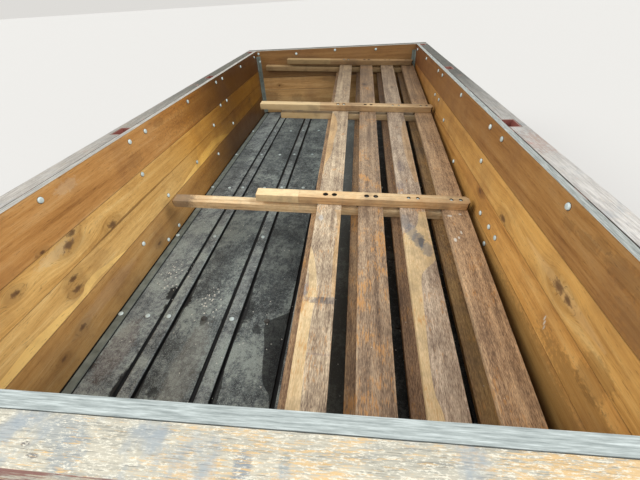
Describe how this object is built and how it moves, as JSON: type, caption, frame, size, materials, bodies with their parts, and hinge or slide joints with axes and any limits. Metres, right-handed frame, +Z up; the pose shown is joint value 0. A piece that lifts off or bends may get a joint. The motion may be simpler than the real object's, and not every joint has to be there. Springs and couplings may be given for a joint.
{
  "type": "tipper trailer load box",
  "caption": "Open timber-lined tipping load box on steel bearers, with stake pockets, a top-hung tailboard with a lock shaft, and two slatted side racks lying inside.",
  "frame": {"origin": "middle of the whole part at the undersides of the long bearers", "axes": "+Y towards the headboard, +Z up, +X to the right seen from the tailboard"},
  "size_m": [1.694, 3.5098, 0.79],
  "materials": {
    "lining_timber": "oiled hardwood, worn",
    "rail_timber": "bleached, with traces of red paint",
    "floor_timber": "blackened and dusty",
    "frame_timber": "rough sawn, weathered",
    "rack_timber": "planed hardwood, weathered",
    "stake_timber": "planed hardwood, pale at the ends",
    "painted_steel": "faded red oxide paint",
    "bare_steel": "dull, weathered"
  },
  "bodies": {
    "load_box": {"long_bearers": "painted_steel", "cross_bearers": "frame_timber", "floor_planks": "floor_timber", "floor_strips": "floor_timber", "floor_edge_strips": "bare_steel", "side_sills": "painted_steel", "head_sill": "painted_steel", "rear_sill": "painted_steel", "side_boards_right": "lining_timber", "side_boards_left": "lining_timber", "head_boards": "lining_timber", "head_rail": "rail_timber", "head_uprights": "painted_steel", "corner_angles": "bare_steel", "rear_posts": "painted_steel", "lock_bearings": "painted_steel", "pivot_brackets": "painted_steel", "ram_crossmember": "painted_steel", "ram_ears": "painted_steel", "rack_blocks": "frame_timber", "side_rail_right": "rail_timber", "side_rail_left": "rail_timber", "pocket_stanchions_right": "painted_steel", "pocket_stanchions_left": "painted_steel", "side_uprights_right": "painted_steel", "side_uprights_left": "painted_steel", "waist_rails_right": "frame_timber", "waist_rails_left": "frame_timber"},
    "tailboard": {"tail_boards": "lining_timber", "tail_rail": "rail_timber", "tail_angle": "painted_steel", "tail_uprights": "painted_steel", "tail_hinges": "bare_steel", "lock_pegs": "painted_steel"},
    "lock": {"lock_shaft": "bare_steel", "lock_claws": "painted_steel", "lock_lever": "bare_steel"},
    "lower_rack": {"lower_rack_slats": "rack_timber", "lower_rack_stakes": "stake_timber"},
    "upper_rack": {"upper_rack_slats": "rack_timber", "upper_rack_stakes": "stake_timber"}
  },
  "joints": [
    {"name": "tailboard_swing", "type": "hinge", "parent": "load_box", "child": "tailboard", "pos_m": [0, -1.63911, 0.759], "axis": [-1, 0, 0], "range_deg": [0, 85]},
    {"name": "lock_turn", "type": "hinge", "parent": "load_box", "child": "lock", "pos_m": [0, -1.64711, 0.15], "axis": [-1, 0, 0], "range_deg": [0, 80]},
    {"name": "lower_rack_lift", "type": "slide", "parent": "load_box", "child": "lower_rack", "axis": [0, 0, 1], "range_m": [0, 0.65]},
    {"name": "upper_rack_lift", "type": "slide", "parent": "lower_rack", "child": "upper_rack", "axis": [0, 0, 1], "range_m": [0, 0.6]}
  ]
}
